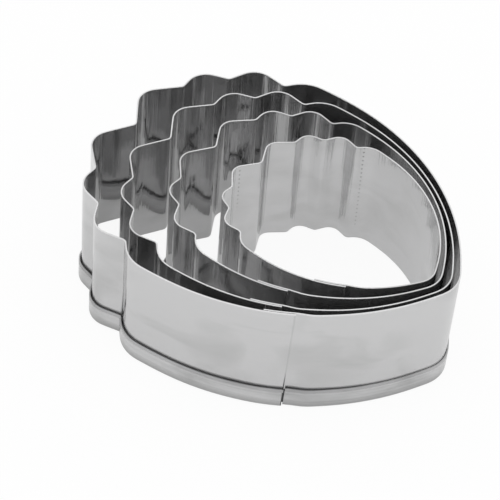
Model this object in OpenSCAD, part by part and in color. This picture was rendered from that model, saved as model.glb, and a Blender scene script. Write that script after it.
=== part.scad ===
/* [Strip] */
// Height of every cutter, from the table to the cutting edge
cutter_height = 25; // [15:0.5:40]
// Thickness of the steel strip
strip_thickness = 0.3; // [0.2:0.05:0.4]
// Height of the hem that is folded outward along the lower edge
hem_height = 4.7; // [3:0.1:8]
// Space between the hem and the wall that it is folded against
hem_gap = 0.25; // [0.15:0.05:0.35]
// Space left between the hem and the wall round the tip, where the fold pulls tight
tip_hem_gap = 0.05; // [0.05:0.01:0.1]
// How far the fold draws the foot of the tip inward
tip_draw = 0.4; // [0:0.1:0.6]
// Distance back from the tip over which the fold pulls tight
tip_pull_length = 25; // [15:1:30]
// Tightest bend of the hem, where it passes through a notch
hem_notch_radius = 0.4; // [0.3:0.1:0.8]

/* [Seam] */
// Length over which the two ends of the strip overlap
lap_length = 5.5; // [4:0.5:8]
// Space between the two layers of the overlap
lap_gap = 0.1; // [0.05:0.01:0.15]
// Space between the two ends of the hem at the seam
seam_gap = 0.25; // [0.1:0.05:0.5]
// Length of the gentle step that brings the lower layer out to the outline
step_length = 4; // [3:0.5:6]
// How far the foot of the seam leans toward the lobes
seam_lean = 1.1; // [0:0.1:1.5]
// Distance along the side from the shoulder to the seam of the extra large petal
extra_large_seam = 26.5; // [20:0.5:32]
// Distance along the side from the shoulder to the seam of the large petal
large_seam = 19.5; // [15:0.5:25]
// Distance along the side from the shoulder to the seam of the medium petal
medium_seam = 15; // [12:0.5:20]
// Distance along the side from the shoulder to the seam of the small petal
small_seam = 18.5; // [12:0.5:20]

/* [Sizes] */
// Length of the extra large petal, from its inner lobes to its tip
extra_large_length = 76.5; // [72:0.5:84]
// Width of the extra large petal across its sides
extra_large_width = 62; // [60:0.5:66]
// How much shorter the large petal is than the extra large one
large_shorter = 9.5; // [8.5:0.5:12]
// How much narrower the large petal is than the extra large one
large_narrower = 6; // [5.5:0.5:9]
// How much shorter the medium petal is than the large one
medium_shorter = 10.5; // [9:0.5:12]
// How much narrower the medium petal is than the large one
medium_narrower = 8.5; // [7:0.5:10]
// How much shorter the small petal is than the medium one
small_shorter = 11.5; // [10:0.5:13]
// How much narrower the small petal is than the medium one
small_narrower = 9.5; // [8:0.5:11]

/* [Nest] */
// Space between a cutter and the next one where their tips meet
nest_clearance = 0.15; // [0.1:0.05:1]
// How far the large petal's tip lies to the side in the extra large one
large_side_shift = -0.7; // [-1:0.1:0.2]
// Turn of the large petal in the extra large one
large_swing = -1.3; // [-1.5:0.1:0.5]
// How far the medium petal's tip lies to the side in the large one
medium_side_shift = -0.6; // [-1:0.1:0]
// Turn of the medium petal in the large one
medium_swing = -4.5; // [-5:0.1:3]
// How far the small petal's tip lies to the side in the medium one
small_side_shift = 0.1; // [-1:0.1:1]
// Turn of the small petal in the medium one
small_swing = -3.4; // [-5:0.1:5]

/* [Outline of the extra large petal] */
// Depth of the middle notch behind the inner lobes
middle_notch_depth = 4.1; // [3:0.1:5]
// How far the corner of an inner lobe stands out past its rounded crown
inner_lobe_rise = 1.2; // [0.8:0.1:1.5]
// Distance of an inner lobe's corner from the middle line
inner_lobe_offset = 8.2; // [7.5:0.1:9]
// Depth of the inner notch behind the inner lobes
inner_notch_depth = 5.1; // [4.5:0.1:6]
// Distance of the inner notch from the middle line
inner_notch_offset = 14.7; // [14:0.1:15.5]
// Depth of a middle lobe's corner behind the inner lobes
middle_lobe_depth = 4.7; // [4.2:0.1:5.2]
// Distance of a middle lobe's corner from the middle line
middle_lobe_offset = 20.2; // [19.5:0.1:20.8]
// Depth of the outer notch behind the inner lobes
outer_notch_depth = 11.1; // [10.5:0.1:11.8]
// Distance of the outer notch from the middle line
outer_notch_offset = 22.1; // [21.5:0.1:22.6]
// Depth of an outer lobe's corner behind the inner lobes
outer_lobe_depth = 13.9; // [13.3:0.1:14.5]
// Distance of an outer lobe's corner from the middle line
outer_lobe_offset = 28.2; // [27.6:0.1:28.8]
// Depth of the shoulder notch behind the inner lobes
shoulder_notch_depth = 21; // [20.3:0.1:21.6]
// Distance of the shoulder notch from the middle line
shoulder_notch_offset = 27; // [26.4:0.1:27.5]
// Depth of the shoulder's corner behind the inner lobes
shoulder_depth = 24.1; // [23.6:0.1:26]
// Length of the nose, from the corner where the side leaves its full width to the tip
nose_length = 14.8; // [13:0.1:17]
// Radius of every lobe
lobe_radius = 4.2; // [3:0.1:4.5]
// Radius of the shoulders
shoulder_radius = 6.9; // [5:0.1:8]
// Radius of the long curved sides
side_radius = 50; // [42:0.5:51]
// Radius of the tip
tip_radius = 6.8; // [5:0.1:7]

/* [Hidden] */

// Number of flat steps in each bend of the outline
notch_steps = 5;
lobe_steps = 6;
shoulder_steps = 6;
side_steps = 12;
tip_steps = 6;
// Number of flat steps in the overlap and in the step beside it
lap_steps = 4;
// Share of a straight edge that its two bends may take together
edge_share = 0.98;
// The next cutter is held off by the walls ahead of the shoulders that face at least this far forward
front_facing = 0.1;

// The strip's section: straight wall, fold and hem, measured outward from the middle of the wall
half_strip = strip_thickness / 2;
fold_radius = strip_thickness + hem_gap / 2;
fold_bore = hem_gap / 2;
fold_middle = half_strip + fold_bore;
fold_angles = [180, 240, 300, 360];
fold_height = fold_radius * cos(30);
hem_inside = half_strip + hem_gap;
hem_reach = hem_inside + strip_thickness;
notch_radius = hem_reach + hem_notch_radius;
lap_offset = strip_thickness + lap_gap;

outer_face = [
    [-half_strip, cutter_height],
    for (angle = fold_angles) fold_point(fold_radius, angle),
    [hem_reach, hem_height]
];
inner_face = [
    [half_strip, cutter_height],
    for (angle = fold_angles) fold_point(fold_bore, angle),
    [hem_inside, hem_height]
];
face_points = len(outer_face);
section = [
    for (k = [0 : face_points - 1]) outer_face[k],
    for (k = [face_points - 1 : -1 : 0]) inner_face[k]
];
section_points = len(section);
// The tongue under the overlap is the plain wall: these points of the section, in order
tongue = [0, 1, section_points - 2, section_points - 1];
tongue_points = len(tongue);

extra_large = [extra_large_length, extra_large_width, extra_large_seam];
large = [extra_large[0] - large_shorter, extra_large[1] - large_narrower, large_seam];
medium = [large[0] - medium_shorter, large[1] - medium_narrower, medium_seam];
small = [medium[0] - small_shorter, medium[1] - small_narrower, small_seam];

// Distance from each tip back to the tip of the next smaller petal
large_inset = inset(extra_large, large, large_side_shift, large_swing);
medium_inset = inset(large, medium, medium_side_shift, medium_swing);
small_inset = inset(medium, small, small_side_shift, small_swing);

// The set's origin lies on the table, midway along the extra large petal
set_reach = [for (s = stations(extra_large)) for (p = section) place(s, p, tip_pull(s, extra_large)).x];
set_middle = (min(set_reach) + max(set_reach)) / 2;

function fold_point(radius, angle) = [
    fold_middle + radius * cos(angle),
    fold_height + radius * sin(angle)
];

function unit(v) = v / norm(v);
function turned(v, angle) = [
    v.x * cos(angle) - v.y * sin(angle),
    v.x * sin(angle) + v.y * cos(angle)
];

// Distance past a length at which the two straight lines beside the rounded tip would cross
function tip_corner(length, side, radius) =
    let (
        from_middle = side - [length - radius, 0],
        facing = atan2(from_middle.y, from_middle.x) - acos(radius / norm(from_middle))
    )
    length - radius + radius / cos(facing);

// Corners of one half of a petal, from the tip round to the middle notch: point, radius, steps
function half_corners(petal) =
    let (
        along = petal[0] / extra_large_length,
        across = petal[1] / extra_large_width,
        size = [along, across],
        half_width = petal[1] / 2,
        side = [petal[0] - nose_length * along, half_width],
        tip_bend = tip_radius * along,
        lobe_bend = lobe_radius * along
    )
    [
        [[tip_corner(petal[0], side, tip_bend), 0], tip_bend, tip_steps],
        [side, side_radius * along, side_steps],
        [[shoulder_depth * along, half_width], shoulder_radius * along, shoulder_steps],
        [scaled([shoulder_notch_depth, shoulder_notch_offset], size), notch_radius, notch_steps],
        [scaled([outer_lobe_depth, outer_lobe_offset], size), lobe_bend, lobe_steps],
        [scaled([outer_notch_depth, outer_notch_offset], size), notch_radius, notch_steps],
        [scaled([middle_lobe_depth, middle_lobe_offset], size), lobe_bend, lobe_steps],
        [scaled([inner_notch_depth, inner_notch_offset], size), notch_radius, notch_steps],
        [scaled([-inner_lobe_rise, inner_lobe_offset], size), lobe_bend, lobe_steps],
        [scaled([middle_notch_depth, 0], size), notch_radius, notch_steps]
    ];
function scaled(point, size) = [point.x * size.x, point.y * size.y];

// All corners of a petal, counterclockwise from the tip
function corners(petal) =
    let (half = half_corners(petal), last = len(half) - 1)
    concat(half, [for (k = [last - 1 : -1 : 1]) [[half[k][0].x, -half[k][0].y], half[k][1], half[k][2]]]);

// Turn of the outline at a corner, and the length of straight edge that its bend takes up
function turn(list, k) =
    let (
        count = len(list),
        before = list[k][0] - list[(k + count - 1) % count][0],
        after = list[(k + 1) % count][0] - list[k][0]
    )
    atan2(before.x * after.y - before.y * after.x, before.x * after.x + before.y * after.y);
function bend_length(list, k) = list[k][1] * tan(abs(turn(list, k)) / 2);

// How far the bends at both ends of an edge must shrink to fit it
function edge_fit(list, k) =
    let (next = (k + 1) % len(list))
    min(1, edge_share * norm(list[next][0] - list[k][0]) / (bend_length(list, k) + bend_length(list, next)));

// A bend: its middle, radius, first angle, swept angle and number of steps
function bend(list, k) =
    let (
        count = len(list),
        radius = list[k][1] * min(edge_fit(list, k), edge_fit(list, (k + count - 1) % count)),
        sweep = turn(list, k),
        heading = unit(list[k][0] - list[(k + count - 1) % count][0]),
        left = [-heading.y, heading.x] * sign(sweep),
        start = list[k][0] - heading * radius * tan(abs(sweep) / 2)
    )
    [start + left * radius, radius, atan2(-left.y, -left.x), sweep, list[k][2]];

// A station on a bend: its point, its outward direction, how far it is set in, and its lean
function station(b, share, inward = 0, lean = 0) =
    let (
        angle = b[2] + b[3] * share,
        radial = [cos(angle), sin(angle)],
        outward = radial * sign(b[3])
    )
    [b[0] + radial * b[1] - outward * inward, outward, lean];

// Smooth rise from 0 to 1
function ease(share) = share * share * (3 - 2 * share);

// Share of a side at a distance from its shoulder
function side_share(b, distance) = distance / (b[1] * abs(b[3]) * PI / 180);

// The strip starts under the overlap, with its bare tongue
function tongue_stations(petal) =
    let (list = corners(petal), b = bend(list, len(list) - 1))
    [
        for (k = [0 : lap_steps - 1])
            station(b, side_share(b, petal[2] - lap_length + lap_length * k / lap_steps), lap_offset)
    ];

// It steps out to the outline, runs all the way round, and ends on top of its own start
function stations(petal) =
    let (
        list = corners(petal),
        last = len(list) - 1,
        b = bend(list, last),
        start = petal[2] + seam_gap,
        after_step = side_share(b, start + step_length),
        before_lap = side_share(b, petal[2] - lap_length),
        first_free = ceil(after_step * side_steps + 0.2),
        last_free = floor(before_lap * side_steps - 0.2)
    )
    [
        for (k = [0 : lap_steps])
            station(
                b,
                side_share(b, start + step_length * k / lap_steps),
                lap_offset * (1 - ease(k / lap_steps)),
                k == 0 ? 1 : 0
            ),
        for (k = [first_free : side_steps])
            station(b, k / side_steps),
        for (c = [0 : last - 1])
            let (each_bend = bend(list, c))
            for (k = [0 : each_bend[4]]) station(each_bend, k / each_bend[4]),
        for (k = [0 : last_free])
            station(b, k / side_steps),
        for (k = [0 : lap_steps])
            station(
                b,
                side_share(b, petal[2] - lap_length + lap_length * k / lap_steps),
                0,
                k == lap_steps ? 1 : 0
            )
    ];

// How tight the fold pulls at a station, from 0 along the sides to 1 at the tip
function tip_pull(s, petal) = ease(max(0, min(1, 1 - (petal[0] - s[0].x) / tip_pull_length)));

// How far the pull brings a point of the section inward: the hem closes up, and the foot follows
function pulled_in(p, pull) =
    pull * (hem_gap - tip_hem_gap) * max(0, min(1, (p.x - half_strip) / hem_gap))
    + pull * tip_draw * (1 - p.y / cutter_height);

// A point of the section, placed at a station
function place(s, p, pull) =
    let (
        along = [-s[1].y, s[1].x],
        outward = s[1] * (p.x - pulled_in(p, pull)),
        flat = s[0] + outward + along * s[2] * seam_lean * (p.y / cutter_height - 0.5)
    )
    [flat.x, flat.y, p.y];

// How far the inner petal's tip stays behind the outer one's, so that their fronts just clear
function inset(outer, inner, side_shift, swing) =
    let (
        walls = concat(stations(outer), tongue_stations(outer)),
        shoulder = shoulder_depth * outer[0] / extra_large_length,
        hem = [
            for (s = stations(inner))
                if (s[1].x > 0)
                    turned(s[0] + s[1] * hem_reach - [inner[0], 0], swing) + [outer[0], side_shift]
        ]
    )
    max([
        for (s = walls)
            if (s[0].x > shoulder && s[1].x > front_facing)
                for (p = hem)
                    (nest_clearance + (p - s[0] + s[1] * half_strip) * s[1]) / s[1].x
    ]);

// A band of faces between two rows of points, two triangles to each step
function quad(a, b, c, d) = [[a, b, c], [a, c, d]];

module petal_cutter(petal) {
    under = tongue_stations(petal);
    over = stations(petal);
    first = len(under) * tongue_points;
    last = len(over) - 1;
    points = concat(
        [for (s = under) for (k = tongue) place(s, section[k], tip_pull(s, petal))],
        [for (s = over) for (p = section) place(s, p, tip_pull(s, petal))]
    );
    under_index = [
        for (r = [0 : len(under)])
            [for (k = [0 : tongue_points - 1]) r < len(under) ? r * tongue_points + k : first + tongue[k]]
    ];
    over_index = [
        for (r = [0 : last])
            [for (k = [0 : section_points - 1]) first + r * section_points + k]
    ];
    sides = [
        for (rows = [under_index, over_index])
            let (count = len(rows[0]))
            for (r = [0 : len(rows) - 2])
                for (k = [0 : count - 1])
                    let (next = (k + 1) % count)
                    each quad(rows[r][k], rows[r][next], rows[r + 1][next], rows[r + 1][k])
    ];
    end_cap = [
        for (k = [0 : face_points - 2])
            let (row = over_index[last], far = section_points - 1 - k)
            each quad(row[k], row[k + 1], row[far - 1], row[far])
    ];
    hem_cap = [
        for (k = [1 : face_points - 2])
            let (row = over_index[0], far = section_points - 1 - k)
            each quad(row[k], row[far], row[far - 1], row[k + 1])
    ];
    tongue_cap = quad(under_index[0][0], under_index[0][3], under_index[0][2], under_index[0][1]);
    polyhedron(points, concat(sides, end_cap, hem_cap, tongue_cap));
}

module in_extra_large() {
    translate([extra_large[0] - large_inset, large_side_shift])
        rotate(large_swing)
            translate([-large[0], 0])
                children();
}

module in_large() {
    translate([large[0] - medium_inset, medium_side_shift])
        rotate(medium_swing)
            translate([-medium[0], 0])
                children();
}

module in_medium() {
    translate([medium[0] - small_inset, small_side_shift])
        rotate(small_swing)
            translate([-small[0], 0])
                children();
}

module in_set() {
    translate([-set_middle, 0])
        children();
}

module cutter_extra_large() {
    color("silver")
        in_set()
            petal_cutter(extra_large);
}

module cutter_large() {
    color("silver")
        in_set()
            in_extra_large()
                petal_cutter(large);
}

module cutter_medium() {
    color("silver")
        in_set()
            in_extra_large()
                in_large()
                    petal_cutter(medium);
}

module cutter_small() {
    color("silver")
        in_set()
            in_extra_large()
                in_large()
                    in_medium()
                        petal_cutter(small);
}

cutter_extra_large();
cutter_large();
cutter_medium();
cutter_small();
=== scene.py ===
# %% [markdown]
# # A nest of four petal pastry cutters
#
# Four cutters of one outline stand one inside the other with their tips together.
# Each is a single strip of bright steel, bent to the outline, with its lower edge
# folded out into a hem and its two ends lapped at a seam. The sizes and places come
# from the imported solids, so this lesson starts by loading them.

# %% Load the fixed frame
import math
import bpy
import bmesh
from mathutils import Matrix, Vector
from mathutils.bvhtree import BVHTree


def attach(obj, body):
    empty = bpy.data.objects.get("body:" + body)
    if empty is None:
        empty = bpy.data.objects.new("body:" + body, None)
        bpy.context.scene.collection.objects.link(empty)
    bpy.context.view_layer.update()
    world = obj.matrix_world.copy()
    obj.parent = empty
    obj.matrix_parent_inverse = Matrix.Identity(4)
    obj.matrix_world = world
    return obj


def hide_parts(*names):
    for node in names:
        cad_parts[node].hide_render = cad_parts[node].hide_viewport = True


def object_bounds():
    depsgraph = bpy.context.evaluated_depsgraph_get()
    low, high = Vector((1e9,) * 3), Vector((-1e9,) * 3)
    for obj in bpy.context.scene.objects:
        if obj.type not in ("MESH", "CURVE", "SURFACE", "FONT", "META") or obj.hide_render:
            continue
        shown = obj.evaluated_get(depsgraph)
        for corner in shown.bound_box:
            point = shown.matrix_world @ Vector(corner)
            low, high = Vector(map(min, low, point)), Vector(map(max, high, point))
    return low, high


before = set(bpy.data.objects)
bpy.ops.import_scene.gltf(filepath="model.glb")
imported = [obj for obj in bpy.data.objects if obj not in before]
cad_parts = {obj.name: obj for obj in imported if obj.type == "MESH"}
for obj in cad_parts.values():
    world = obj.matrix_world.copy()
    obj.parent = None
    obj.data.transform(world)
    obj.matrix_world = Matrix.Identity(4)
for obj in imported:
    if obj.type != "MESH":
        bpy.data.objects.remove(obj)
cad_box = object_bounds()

MM = 0.001
print("nodes:", sorted(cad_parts))
print("box in mm:", [[round(v / MM, 2) for v in corner] for corner in cad_box])

# %% [markdown]
# ## The camera
#
# The photograph looks down on the nest from the side at about 45 degrees, from far
# enough away that its upright lines almost run parallel. A long lens does the same.
# The camera is also tilted a little, so that the object leans to the left.

# %% Set the camera
CAMERA_PLACE = Vector((162.92, -289.09, 346.49)) * MM
CAMERA_TURN = math.radians(30.282)
CAMERA_PITCH = math.radians(45.391)
CAMERA_ROLL = math.radians(4.838)
SENSOR = 36
PICTURE_WIDTH = 500
FOCAL_PIXELS = 2430
LENS = FOCAL_PIXELS * SENSOR / PICTURE_WIDTH

camera_data = bpy.data.cameras.new("camera")
camera = bpy.data.objects.new("camera", camera_data)
bpy.context.scene.collection.objects.link(camera)
camera_data.lens = LENS
camera_data.sensor_width = SENSOR
camera.location = CAMERA_PLACE
camera.rotation_mode = "QUATERNION"
camera.rotation_quaternion = (
    Matrix.Rotation(CAMERA_TURN, 3, "Z")
    @ Matrix.Rotation(math.pi / 2 - CAMERA_PITCH, 3, "X")
    @ Matrix.Rotation(CAMERA_ROLL, 3, "Z")
).to_quaternion()
bpy.context.scene.camera = camera
print("lens in mm:", round(LENS, 1))

# %% [markdown]
# ## Plain colours
#
# The Standard view shows a colour as it is written, so steel that is set to a grey
# tone comes out in that tone under plain white light.

# %% Show colours plainly
bpy.context.scene.view_settings.view_transform = "Standard"
print("view:", bpy.context.scene.view_settings.view_transform)

# %% [markdown]
# ## Helpers for finishes
#
# A finish is a small network of nodes. These helpers add a node, wire two sockets and
# start a group, so that each effect below can be read as a few lines.

# %% Helpers for nodes
def add(tree, kind, place, **values):
    node = tree.nodes.new(kind)
    node.location = place
    for key, value in values.items():
        setattr(node, key, value)
    return node


def wire(tree, source, target):
    tree.links.new(source, target)


def socket_names(group):
    return [socket.name for socket in group.interface.items_tree]


def new_group(name, inputs, output):
    """A group with named inputs and one output, which is a mask."""
    group = bpy.data.node_groups.new(name, "ShaderNodeTree")
    for label, kind, value in inputs:
        socket = group.interface.new_socket(label, in_out="INPUT", socket_type=kind)
        socket.default_value = value
    group.interface.new_socket(output, in_out="OUTPUT", socket_type="NodeSocketFloat")
    start = add(group, "NodeGroupInput", (-900, 0))
    end = add(group, "NodeGroupOutput", (600, 0))
    return group, start, end


def use(tree, group, place, **values):
    node = add(tree, "ShaderNodeGroup", place)
    node.node_tree = group
    node.label = group.name
    for key, value in values.items():
        node.inputs[key.replace("_", " ")].default_value = value
    return node


def sums(tree, kind, place, first, second, third=None):
    """One step of arithmetic. Each part is a socket or a number."""
    node = add(tree, "ShaderNodeMath", place, operation=kind)
    for slot, part in zip(node.inputs, (first, second, third)):
        if isinstance(part, (int, float)):
            slot.default_value = part
        elif part is not None:
            wire(tree, part, slot)
    return node.outputs["Value"]


print("helpers:", [helper.__name__ for helper in (add, wire, new_group, use, sums)])

# %% [markdown]
# ## Drawn lines
#
# Strip steel carries fine parallel lines. Some run along the strip, from the rollers
# that made it. Others stand upright where the bending tool pressed the strip. Noise
# that is stretched hard in one direction gives both: large numbers in Stretch make
# the pattern fine, and a small one draws it out. The lines are strongest in the bends,
# so they fade by the bend value that the mesh carries.

# %% Group: drawn lines
def drawn_lines_group():
    group, start, end = new_group(
        "drawn lines",
        (
            ("Stretch", "NodeSocketVector", (2000, 2000, 30)),
            ("Low", "NodeSocketFloat", 0.4),
            ("High", "NodeSocketFloat", 0.7),
            ("On the flat", "NodeSocketFloat", 1.0),
        ),
        "Lines",
    )
    where = add(group, "ShaderNodeTexCoord", (-900, -300))
    stretch = add(group, "ShaderNodeMapping", (-650, 0))
    noise = add(group, "ShaderNodeTexNoise", (-400, 0))
    noise.inputs["Scale"].default_value = 1
    noise.inputs["Detail"].default_value = 3
    limits = add(group, "ShaderNodeMapRange", (-150, 0))
    bend = add(group, "ShaderNodeAttribute", (-400, -350), attribute_name="bend")
    fade = add(group, "ShaderNodeMapRange", (-150, -350))
    wire(group, where.outputs["Object"], stretch.inputs["Vector"])
    wire(group, start.outputs["Stretch"], stretch.inputs["Scale"])
    wire(group, stretch.outputs["Vector"], noise.inputs["Vector"])
    wire(group, noise.outputs["Fac"], limits.inputs["Value"])
    wire(group, start.outputs["Low"], limits.inputs["From Min"])
    wire(group, start.outputs["High"], limits.inputs["From Max"])
    wire(group, bend.outputs["Fac"], fade.inputs["Value"])
    wire(group, start.outputs["On the flat"], fade.inputs["To Min"])
    lines = sums(group, "MULTIPLY", (200, 0), limits.outputs["Result"], fade.outputs["Result"])
    wire(group, lines, end.inputs["Lines"])
    return group


drawn_lines = drawn_lines_group()
print("group:", drawn_lines.name, socket_names(drawn_lines))

# %% [markdown]
# ## Smudges
#
# Handled steel has cloudy patches where fingers and cloths have left a thin film. They
# are a little darker and duller than the clean steel. A noise of several sizes at
# once, pushed out of shape, gives their ragged edges.

# %% Group: smudges
def smudges_group():
    group, start, end = new_group(
        "smudges",
        (
            ("Size", "NodeSocketVector", (90, 90, 90)),
            ("Low", "NodeSocketFloat", 0.45),
            ("High", "NodeSocketFloat", 0.7),
        ),
        "Smudge",
    )
    where = add(group, "ShaderNodeTexCoord", (-900, -300))
    stretch = add(group, "ShaderNodeMapping", (-650, 0))
    noise = add(group, "ShaderNodeTexNoise", (-400, 0))
    noise.inputs["Scale"].default_value = 1
    noise.inputs["Detail"].default_value = 5
    noise.inputs["Distortion"].default_value = 0.7
    limits = add(group, "ShaderNodeMapRange", (-150, 0))
    wire(group, where.outputs["Object"], stretch.inputs["Vector"])
    wire(group, start.outputs["Size"], stretch.inputs["Scale"])
    wire(group, stretch.outputs["Vector"], noise.inputs["Vector"])
    wire(group, noise.outputs["Fac"], limits.inputs["Value"])
    wire(group, start.outputs["Low"], limits.inputs["From Min"])
    wire(group, start.outputs["High"], limits.inputs["From Max"])
    wire(group, limits.outputs["Result"], end.inputs["Smudge"])
    return group


smudges = smudges_group()
print("group:", smudges.name, socket_names(smudges))

# %% [markdown]
# ## Height band
#
# Some finishes are darker low down. The hem is simply darker towards its foot, and the
# strip's ends carry painted shade at the foot of the seam and behind the slit in the hem.
# This group gives a soft step between two heights above the table: 0 at the first and 1
# at the second.

# %% Group: height band
def height_band_group():
    group, start, end = new_group(
        "height band",
        (("From", "NodeSocketFloat", 0.0), ("To", "NodeSocketFloat", 0.01)),
        "Band",
    )
    where = add(group, "ShaderNodeTexCoord", (-900, -300))
    split = add(group, "ShaderNodeSeparateXYZ", (-650, -300))
    step = add(group, "ShaderNodeMapRange", (-300, 0), interpolation_type="SMOOTHSTEP")
    wire(group, where.outputs["Object"], split.inputs["Vector"])
    wire(group, split.outputs["Z"], step.inputs["Value"])
    wire(group, start.outputs["From"], step.inputs["From Min"])
    wire(group, start.outputs["To"], step.inputs["From Max"])
    wire(group, step.outputs["Result"], end.inputs["Band"])
    return group


height_band = height_band_group()
print("group:", height_band.name, socket_names(height_band))

# %% [markdown]
# ## Punched rows
#
# Inside the smallest cutter two upright rows of tiny dots show where the tool that
# bent the lobes gripped the strip. A dot is everything close to the nearest of a row
# of points: the distance across comes from x and y, and the distance along from z,
# folded back on itself at every half pitch. The row starts at Place and runs upward.

# %% Group: punched row
def punched_row_group():
    group, start, end = new_group(
        "punched row",
        (
            ("Place", "NodeSocketVector", (0, 0, 0)),
            ("Pitch", "NodeSocketFloat", 1.1 * MM),
            ("Dot", "NodeSocketFloat", 0.27 * MM),
        ),
        "Dots",
    )
    where = add(group, "ShaderNodeTexCoord", (-900, -300))
    offset = add(group, "ShaderNodeVectorMath", (-700, -300), operation="SUBTRACT")
    split = add(group, "ShaderNodeSeparateXYZ", (-500, -300))
    wire(group, where.outputs["Object"], offset.inputs[0])
    wire(group, start.outputs["Place"], offset.inputs[1])
    wire(group, offset.outputs["Vector"], split.inputs["Vector"])
    x, y, z = (split.outputs[axis] for axis in "XYZ")
    half_pitch = sums(group, "MULTIPLY", (-500, 200), start.outputs["Pitch"], 0.5)
    along = sums(group, "PINGPONG", (-300, -500), z, half_pitch)
    total = sums(group, "MULTIPLY", (-300, -100), x, x)
    total = sums(group, "MULTIPLY_ADD", (-150, -200), y, y, total)
    total = sums(group, "MULTIPLY_ADD", (0, -300), along, along, total)
    distance = sums(group, "POWER", (150, -300), total, 0.5)
    dots = add(group, "ShaderNodeMapRange", (300, 0), interpolation_type="SMOOTHSTEP")
    wire(group, distance, dots.inputs["Value"])
    wire(group, start.outputs["Dot"], dots.inputs["From Max"])
    dots.inputs["To Min"].default_value = 1
    dots.inputs["To Max"].default_value = 0
    above = sums(group, "GREATER_THAN", (150, 200), z, 0.0)
    on_wall = sums(group, "MULTIPLY", (450, 200), dots.outputs["Result"], above)
    wire(group, on_wall, end.inputs["Dots"])
    return group


punched_row = punched_row_group()
print("group:", punched_row.name, socket_names(punched_row))

# %% [markdown]
# ## The marks on steel
#
# Every finish starts from the same masks: upright press lines, lines from the rollers,
# smudges, and wide soft dents that make a wall mirror a little unevenly. The punched
# rows are added only where places for them are given.

# %% Masks of a finish
PRESS_STRETCH = (2600, 2600, 16)
ROLLED_STRETCH = (26, 26, 3600)
FILM_SIZE = (65, 65, 120)
DENT_SIZE = (60, 60, 22)


def steel_masks(tree, flat, rows):
    press = use(
        tree, drawn_lines, (-1300, 500),
        Stretch=PRESS_STRETCH, Low=0.46, High=0.74, On_the_flat=flat,
    )
    rolled = use(
        tree, drawn_lines, (-1300, 250),
        Stretch=ROLLED_STRETCH, Low=0.45, High=0.75, On_the_flat=1.0,
    )
    film = use(tree, smudges, (-1300, 0), Size=FILM_SIZE, Low=0.45, High=0.78)
    dents = use(tree, smudges, (-1300, -250), Size=DENT_SIZE, Low=0.2, High=0.8)
    punched = 0.0
    for row, place in enumerate(rows):
        level = -500 - 250 * row
        dots = use(tree, punched_row, (-1300, level), Place=place)
        punched = sums(tree, "ADD", (-1100, level), dots.outputs["Dots"], punched)
    lines = press.outputs["Lines"], rolled.outputs["Lines"]
    return *lines, film.outputs["Smudge"], dents.outputs["Smudge"], punched


print("stretch of the lines:", PRESS_STRETCH, ROLLED_STRETCH)
print("size of the patches:", FILM_SIZE, DENT_SIZE)

# %% [markdown]
# ## Tone and blur
#
# The tone of metal is its Base Color. The marks move it from the clean tone to the
# stained one, and a punched dot goes further. Low down, a band can darken it again:
# on the hem it is simply darker towards the bottom, and at the foot of the seam it is
# painted shade. The same marks feed Roughness, which blurs what the steel mirrors.

# %% Colour and roughness
BLUE_TINT = 1.005
DOT_DARKNESS = 2.2
DARKEST_MARK = 3.0
PRESS_DULLS = 0.5
MARKS_DULL = 0.6


def grey(tone):
    return tone, tone, tone, 1


def colour_steel(tree, shader, mark, clean, stained, foot):
    tone = add(tree, "ShaderNodeMix", (-350, 300), data_type="RGBA", clamp_factor=False)
    tone.inputs["A"].default_value = (clean, clean, clean * BLUE_TINT, 1)
    tone.inputs["B"].default_value = grey(stained)
    limited = sums(tree, "MINIMUM", (-600, 200), mark, DARKEST_MARK)
    wire(tree, limited, tone.inputs["Factor"])
    colour = tone.outputs["Result"]
    # A band low down paints the colour darker: painted shade at the seam's foot, and on the
    # hem simply darker towards the bottom.
    if foot:
        low, high, dark = foot
        band = use(tree, height_band, (-600, 550), From=low, To=high)
        shade = add(tree, "ShaderNodeMix", (-120, 400), data_type="RGBA")
        shade.inputs["A"].default_value = grey(dark)
        wire(tree, band.outputs["Band"], shade.inputs["Factor"])
        wire(tree, colour, shade.inputs["B"])
        colour = shade.outputs["Result"]
    wire(tree, colour, shader.inputs["Base Color"])


def blur_steel(tree, shader, mark, press, smooth, dull):
    blur = add(tree, "ShaderNodeMapRange", (-350, 0))
    blur.inputs["To Min"].default_value = smooth
    blur.inputs["To Max"].default_value = dull
    total = sums(tree, "MULTIPLY_ADD", (-850, 0), press, PRESS_DULLS, mark)
    total = sums(tree, "MULTIPLY", (-600, 0), total, MARKS_DULL)
    wire(tree, total, blur.inputs["Value"])
    wire(tree, blur.outputs["Result"], shader.inputs["Roughness"])


print("share of the marks in the blur:", MARKS_DULL)

# %% [markdown]
# ## Relief
#
# Bump tilts the surface by heights that are too small for the mesh, given here in
# millimetres. Press lines break the mirror image up into upright streaks, dents bend
# it, and each punched dot is a shallow pit.

# %% Bump
DOT_DEPTH = -0.04


def emboss_steel(tree, shader, reliefs):
    height = 0.0
    for step, (mask, rise) in enumerate(reliefs):
        place = (-850 + 150 * step, -300)
        height = sums(tree, "MULTIPLY_ADD", place, mask, rise * MM, height)
    bump = add(tree, "ShaderNodeBump", (-220, -300))
    bump.inputs["Strength"].default_value = 1
    bump.inputs["Distance"].default_value = 1
    wire(tree, height, bump.inputs["Height"])
    wire(tree, bump.outputs["Normal"], shader.inputs["Normal"])


print("depth of a punched dot in mm:", -DOT_DEPTH)
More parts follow.
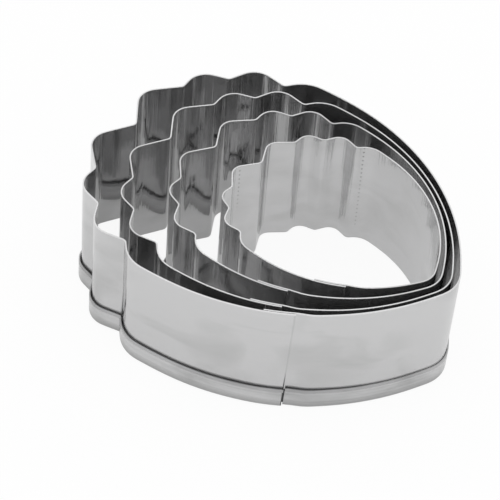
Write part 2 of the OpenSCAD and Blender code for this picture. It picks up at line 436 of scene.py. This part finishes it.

# %% [markdown]
# ## Steel
#
# Every part of a strip is the same metal, so one function makes all its finishes. The
# walls are nearly mirrors. The hem is scored along its length and darker towards its
# foot. Cut edges are plain and a little rough, and the strip's ends carry painted shade
# at the seam's foot. Steel inside the fold was never polished.

# %% A steel finish
def steel(
    name, clean, stained, smooth, dull, upright=0.0, along=0.0, wave=0.0,
    scored=0.1, foot=None, metal=0.94, flat=0.1, rows=(),
):
    material = bpy.data.materials.new(name)
    material.use_nodes = True
    tree = material.node_tree
    shader = tree.nodes["Principled BSDF"]
    shader.inputs["Metallic"].default_value = metal
    shader.inputs["Specular IOR Level"].default_value = 0.3
    press, rolled, film, dents, punched = steel_masks(tree, flat, rows)
    mark = sums(tree, "MULTIPLY_ADD", (-1000, 200), rolled, scored, film)
    mark = sums(tree, "MULTIPLY_ADD", (-800, 250), punched, DOT_DARKNESS, mark)
    colour_steel(tree, shader, mark, clean, stained, foot)
    blur_steel(tree, shader, mark, press, smooth, dull)
    reliefs = (press, upright), (rolled, along), (dents, wave), (punched, DOT_DEPTH)
    emboss_steel(tree, shader, reliefs)
    return material


# %% Finishes of the walls
ROWS = (
    Vector((-11.03, 2.36, 14.0)) * MM,
    Vector((5.4, 21.46, 4.0)) * MM,
)
POLISH = {"smooth": 0.06, "dull": 0.16, "upright": 0.045, "along": 0.0002, "wave": 0.1}
wall_steel = steel("wall steel", clean=0.61, stained=0.5, **POLISH)
small_wall_steel = steel("small wall steel", clean=0.7, stained=0.6, rows=ROWS, **POLISH)
print("walls:", wall_steel.name, "and", small_wall_steel.name)

# %% Finishes of the hem and edges
OTHERS = (
    # The hem's colour is darker towards the bottom, from 2.4 mm down to the table.
    steel(
        "hem steel", clean=0.62, stained=0.42, smooth=0.12, dull=0.3,
        upright=0.004, along=0.003, wave=0.03,
        scored=0.55, foot=(0.2 * MM, 2.4 * MM, 0.4), flat=0.6,
    ),
    steel(
        "cut rim steel", clean=0.74, stained=0.6, smooth=0.25, dull=0.4,
        upright=0.01, along=0.002, flat=1.0,
    ),
    steel("hem edge steel", clean=0.5, stained=0.3, smooth=0.35, dull=0.5, upright=0.01),
    # Painted shade: below 5 mm the strip's ends and the faces behind the slit turn nearly
    # black, fading out by 10 mm, where shade falls at the seam's foot.
    steel(
        "strip end steel with painted shade", clean=0.56, stained=0.48, smooth=0.2, dull=0.3,
        foot=(5 * MM, 10 * MM, 0.08), metal=0.9,
    ),
    steel("fold steel", clean=0.62, stained=0.54, smooth=0.6, dull=0.7, metal=0.1),
)
WALL, HEM, RIM, HEM_EDGE, STRIP_END, FOLD = range(6)
print("others:", [finish.name for finish in OTHERS])

# %% [markdown]
# ## One strip
#
# The real strip is bent, folded and pressed by machine, so its surfaces are smooth
# curves and its cut edges are slightly rounded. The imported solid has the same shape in
# flat steps. A copy of it is merged, turned into four-sided faces and given the
# finishes by place. Its sharp edges are bevelled, and a few level cuts keep the fold
# and the rim in place while a subdivision surface rounds the bends.

# %% Copy and merge a node
MERGE_REACH = 0.001 * MM
FLAT_PAIR = math.radians(20)
SQUARE_PAIR = math.radians(60)


def work_on(piece):
    bpy.ops.object.select_all(action="DESELECT")
    piece.select_set(True)
    bpy.context.view_layer.objects.active = piece


def merged_copy(node, name):
    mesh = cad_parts[node].data.copy()
    mesh.name = name
    mesh.materials.clear()
    piece = bpy.data.objects.new(name, mesh)
    bpy.context.scene.collection.objects.link(piece)
    work_on(piece)
    bpy.ops.object.mode_set(mode="EDIT")
    bpy.ops.mesh.select_mode(type="EDGE")
    bpy.ops.mesh.select_all(action="SELECT")
    bpy.ops.mesh.remove_doubles(threshold=MERGE_REACH)
    bpy.ops.mesh.tris_convert_to_quads(face_threshold=FLAT_PAIR, shape_threshold=SQUARE_PAIR)
    bpy.ops.object.mode_set(mode="OBJECT")
    return piece


def triangles(piece):
    return sum(len(face.vertices) - 2 for face in piece.data.polygons)


# %% [markdown]
# ## How hard the strip is bent
#
# The press lines need to know where the strip is bent. Each upright edge of the merged
# mesh lies between two flat steps, and the angle between them over their width is how
# hard the strip bends there. It is kept on the points as an attribute called bend.

# %% Measure the bend
BEND_REACH = 1.6 * MM
SHORTEST = 1 * MM
UPRIGHT_SHARE = 0.9
SHARPEST_BEND = math.radians(60)


def write_bend(piece):
    mesh = piece.data
    attribute = mesh.attributes.new("bend", "FLOAT", "POINT")
    shape = bmesh.new()
    shape.from_mesh(mesh)
    bends = [0.0] * len(shape.verts)
    for edge in shape.edges:
        low, high = edge.verts
        run = high.co - low.co
        upright = abs(run.z) >= UPRIGHT_SHARE * run.length and run.length >= SHORTEST
        if not upright or len(edge.link_faces) != 2:
            continue
        angle = edge.calc_face_angle(0)
        width = sum(face.calc_area() / run.length for face in edge.link_faces) / 2
        if angle < SHARPEST_BEND:
            bend = min(1, angle / width * BEND_REACH)
            for point in edge.verts:
                bends[point.index] = max(bends[point.index], bend)
    shape.free()
    attribute.data.foreach_set("value", bends)
    return sum(bends) / len(bends)


# %% [markdown]
# ## Which finish goes where
#
# A face is known by its place. Faces at the very top are the cut rim, faces level with
# the top of the hem are its cut edge, and narrow faces that look along the strip on the
# front side are its two ends. The width of a face is its area over its height. The
# rounded corners of the wall's ends look less far along the strip, so the wall has a
# lower limit than the hem. Of the rest, those that reach the top are the wall.

# %% Finish by place
HEIGHT = cad_box[1][2]
HEM_TOP = 4.7 * MM
SEAMS = (4 * MM, 25 * MM)
END_WIDTH = 1 * MM
ALONG_FRONT = Vector((0.9, 0.43, 0)).normalized()
HEM_FACES_ALONG = 0.5
WALL_FACES_ALONG = 0.35
FACES_UP = 0.5
NEAR = 0.1 * MM
JUST_OVER = 0.02 * MM


def finish_of(face, mesh):
    levels = [mesh.vertices[v].co.z for v in face.vertices]
    low, high = min(levels), max(levels)
    in_hem = high < HEM_TOP + JUST_OVER
    if low > HEIGHT - NEAR:
        return RIM
    if low > HEM_TOP - NEAR and in_hem:
        return HEM_EDGE
    on_front = face.center.y < 0 and SEAMS[0] < face.center.x < SEAMS[1]
    narrow = face.area < END_WIDTH * (high - low)
    turn = HEM_FACES_ALONG if in_hem else WALL_FACES_ALONG
    along = abs(face.normal.dot(ALONG_FRONT)) > turn
    if on_front and narrow and along and abs(face.normal.z) < FACES_UP:
        return STRIP_END
    return WALL if high > HEIGHT - NEAR else HEM


print("rim at", round(HEIGHT / MM, 1), "mm, top of the hem at", round(HEM_TOP / MM, 1), "mm")

# %% [markdown]
# ## Inside the fold
#
# The gap under the hem and the one between the lapped ends are never polished, so the
# steel in there stays dull. A face is in a gap when straight lines from near all its
# corners soon meet the strip again. Where only some of them do so at the hem, the face
# lies behind the slit between the hem's two ends, and it gets the strip end finish with
# its painted shade, as dark as the seam's foot.

# %% Find the faces in a gap
GAP_REACH = 0.45 * MM
LIFT_OFF = 0.01 * MM
INSET = 0.15


def dull_the_gaps(mesh):
    """Set the finishes in the gaps and count the faces that change."""
    points = [point.co for point in mesh.vertices]
    finder = BVHTree.FromPolygons(points, [tuple(face.vertices) for face in mesh.polygons])
    in_gaps = behind_slit = 0
    for face in mesh.polygons:
        lift = face.normal * LIFT_OFF
        starts = [points[v].lerp(face.center, INSET) + lift for v in face.vertices]
        met = [finder.ray_cast(start, face.normal, GAP_REACH)[0] for start in starts]
        hits = sum(place is not None for place in met)
        if hits == len(starts):
            face.material_index = FOLD
            in_gaps += 1
        # Faces behind the slit take the strip end finish, whose painted shade makes them
        # nearly black low down.
        elif hits and face.center.z < HEM_TOP and abs(face.normal.z) < FACES_UP:
            face.material_index = STRIP_END
            behind_slit += 1
    return in_gaps, behind_slit


print("a gap is up to", round(GAP_REACH / MM, 2), "mm wide")

# %% [markdown]
# ## From flat steps to a smooth strip
#
# The order matters. Edges are bevelled first, so that the finishes can be given by
# place while every face still spans its full height. Level cuts come next, then the
# dull gaps, and the subdivision surface last.

# %% Make a strip
SHARP = math.radians(75)
EDGE_BEVEL = 0.06 * MM
LEVEL_CUTS = (0.8, 4.6, 6.0, 14.0, 24.2)


def smooth_strip(node, name, wall):
    piece = merged_copy(node, name)
    mean_bend = write_bend(piece)
    for finish in (wall,) + OTHERS:
        piece.data.materials.append(finish)
    bpy.ops.object.mode_set(mode="EDIT")
    bpy.ops.mesh.select_all(action="DESELECT")
    bpy.ops.mesh.edges_select_sharp(sharpness=SHARP)
    bpy.ops.mesh.bevel(offset=EDGE_BEVEL, segments=2, affect="EDGES")
    bpy.ops.object.mode_set(mode="OBJECT")
    for face in piece.data.polygons:
        face.material_index = finish_of(face, piece.data)
    bpy.ops.object.mode_set(mode="EDIT")
    for level in LEVEL_CUTS:
        bpy.ops.mesh.select_all(action="SELECT")
        bpy.ops.mesh.bisect(plane_co=(0, 0, level * MM), plane_no=(0, 0, 1))
    bpy.ops.mesh.select_all(action="SELECT")
    bpy.ops.mesh.normals_make_consistent(inside=False)
    bpy.ops.object.mode_set(mode="OBJECT")
    in_gaps, behind_slit = dull_the_gaps(piece.data)
    smoother = piece.modifiers.new("smooth", "SUBSURF")
    smoother.levels = smoother.render_levels = 2
    bpy.ops.object.modifier_apply(modifier="smooth")
    bpy.ops.object.shade_smooth()
    print(name, "triangles", triangles(piece), "mean bend", round(mean_bend, 2))
    print("    faces in gaps:", in_gaps, "behind the slit:", behind_slit)
    return piece


# %% [markdown]
# ## The nest
#
# The four strips are made the same way, from the largest to the smallest. Each rides on
# its own body, so that it lifts out of the nest with its solid.

# %% Make the nest
NEST = (
    ("cutter_extra_large", "extra_large", "strip_extra_large", wall_steel),
    ("cutter_large", "large", "strip_large", wall_steel),
    ("cutter_medium", "medium", "strip_medium", wall_steel),
    ("cutter_small", "small", "strip_small", small_wall_steel),
)
for node, body, name, wall in NEST:
    strip = smooth_strip(node, name, wall)
    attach(strip, body)
    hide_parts(node)

# %% [markdown]
# ## The floor
#
# The photograph has a pure white ground. A pale floor lit by plain light comes close,
# and the rest is glow: the camera sees the floor mostly as even white, and the steel
# mirrors it partly so. What is left of the lit floor keeps the shadow of the nest.

# %% Floor
GLOW_SEEN = 0.92
GLOW_MIRRORED = 0.34
FLOOR_SIZE = 6
FLOOR_TONE = 0.93

bpy.ops.mesh.primitive_plane_add(size=FLOOR_SIZE, location=(0, 0, 0))
floor = bpy.context.active_object
floor.name = "floor"
pale = bpy.data.materials.new("pale floor")
pale.use_nodes = True
tree = pale.node_tree
lit = tree.nodes["Principled BSDF"]
lit.inputs["Base Color"].default_value = grey(FLOOR_TONE)
lit.inputs["Roughness"].default_value = 0.8
lit.inputs["Specular IOR Level"].default_value = 0.1
glow = add(tree, "ShaderNodeEmission", (0, -300))
rays = add(tree, "ShaderNodeLightPath", (-600, 300))
shiny, clear = (rays.outputs[kind] for kind in ("Is Glossy Ray", "Is Transmission Ray"))
mirrored = sums(tree, "MAXIMUM", (-400, 300), shiny, clear)
share = sums(tree, "MULTIPLY", (-200, 300), mirrored, GLOW_MIRRORED)
share = sums(tree, "MULTIPLY_ADD", (0, 300), rays.outputs["Is Camera Ray"], GLOW_SEEN, share)
both = add(tree, "ShaderNodeMixShader", (300, 0))
wire(tree, share, both.inputs["Fac"])
wire(tree, lit.outputs["BSDF"], both.inputs[1])
wire(tree, glow.outputs["Emission"], both.inputs[2])
wire(tree, both.outputs["Shader"], tree.nodes["Material Output"].inputs["Surface"])
floor.data.materials.append(pale)
print("floor size in m:", tuple(round(v, 1) for v in floor.dimensions))

# %% [markdown]
# ## The light
#
# Plain soft studio light is an even white all round, a little weaker near the horizon
# so that upright steel shows a gentle change of tone from its foot to its rim.

# %% World light
AT_HORIZON = 0.8
OVERHEAD = 1.05
OVERHEAD_FROM = 0.7

world = bpy.data.worlds.new("studio")
bpy.context.scene.world = world
world.use_nodes = True
tree = world.node_tree
sky = tree.nodes["Background"]
where = add(tree, "ShaderNodeTexCoord", (-1000, 0))
split = add(tree, "ShaderNodeSeparateXYZ", (-800, 0))
climb = add(tree, "ShaderNodeMapRange", (-600, 0))
climb.inputs["From Max"].default_value = OVERHEAD_FROM
climb.inputs["To Min"].default_value = AT_HORIZON
climb.inputs["To Max"].default_value = OVERHEAD
rays = add(tree, "ShaderNodeLightPath", (-600, 300))
wire(tree, where.outputs["Generated"], split.inputs["Vector"])
wire(tree, split.outputs["Z"], climb.inputs["Value"])
bright = add(tree, "ShaderNodeMix", (-300, 100), data_type="FLOAT")
wire(tree, rays.outputs["Is Camera Ray"], bright.inputs["Factor"])
wire(tree, climb.outputs["Result"], bright.inputs["A"])
bright.inputs["B"].default_value = 1
wire(tree, bright.outputs["Result"], sky.inputs["Strength"])
sky.inputs["Color"].default_value = grey(1)
print("world:", world.name, "from", AT_HORIZON, "to", OVERHEAD)
